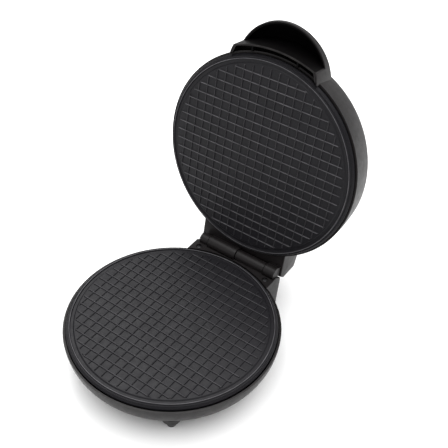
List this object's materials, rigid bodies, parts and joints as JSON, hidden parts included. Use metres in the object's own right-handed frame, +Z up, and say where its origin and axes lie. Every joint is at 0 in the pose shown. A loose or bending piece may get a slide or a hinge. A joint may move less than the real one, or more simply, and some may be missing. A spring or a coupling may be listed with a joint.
{
  "type": "waffle cone maker",
  "caption": "Clamshell waffle cone maker, standing open: round cast baking plates in a plastic base and lid, a barrel hinge at the back and a half-moon handle.",
  "frame": {"origin": "under the middle of the open object's bounding box, on the surface that its four foot pads stand on", "axes": "+X along the hinge, +Y from the front to the hinge at the back, +Z up. The plates, the bowl, the dome and the handle are symmetric about the YZ plane; the hinge knuckles, the cord bush and the wiring are not."},
  "size_m": [0.203, 0.2946, 0.2738],
  "materials": {
    "housing": "satin moulded plastic, black with a warm grey sheen",
    "handle_liner": "smooth moulded plastic, near black",
    "lid_cap": "fine satin plastic",
    "baking_plate": "cast aluminium under a charcoal non-stick coating, with raised waffle ridges",
    "screw_steel": "plated steel",
    "dark_screw": "blackened steel, dull",
    "heater_steel": "heat-stained steel tube",
    "tinned_sheet": "bright coated sheet steel",
    "rubber": "matt rubber",
    "ceramic": "unglazed ceramic",
    "wire_sleeve": "woven glass-fibre sleeve",
    "red_lens": "clear tinted lens",
    "green_lens": "clear tinted lens"
  },
  "bodies": {
    "base": {"base_housing": "housing", "bottom_cover": "housing", "foot_pad_front_left": "rubber", "foot_pad_front_right": "rubber", "foot_pad_rear_left": "rubber", "foot_pad_rear_right": "rubber", "cord_bush": "rubber", "hinge_screw_1": "dark_screw", "hinge_screw_2": "dark_screw", "hinge_pin": "screw_steel", "lower_plate": "baking_plate", "lower_heater": "heater_steel", "lower_heat_shield": "tinned_sheet", "lower_thermostat": "ceramic", "lower_plate_screw_1": "screw_steel", "lower_plate_screw_2": "screw_steel", "lower_plate_screw_3": "screw_steel", "thermal_fuse": "tinned_sheet", "terminal_block": "ceramic", "supply_wires": "wire_sleeve", "lower_wires": "wire_sleeve"},
    "lid": {"lid_housing": "housing", "handle_liner": "handle_liner", "front_lip": "handle_liner", "lid_cap": "lid_cap", "power_lamp": "red_lens", "ready_lamp": "green_lens", "upper_wires": "wire_sleeve", "upper_plate": "baking_plate", "upper_heater": "heater_steel", "upper_heat_shield": "tinned_sheet", "upper_thermostat": "ceramic", "upper_plate_screw_1": "screw_steel", "upper_plate_screw_2": "screw_steel", "upper_plate_screw_3": "screw_steel"}
  },
  "joints": [
    {"name": "lid_hinge", "type": "hinge", "parent": "base", "child": "lid", "pos_m": [0, 0.06161, 0.0467], "axis": [1, 0, 0], "range_deg": [0, 100.5]}
  ]
}
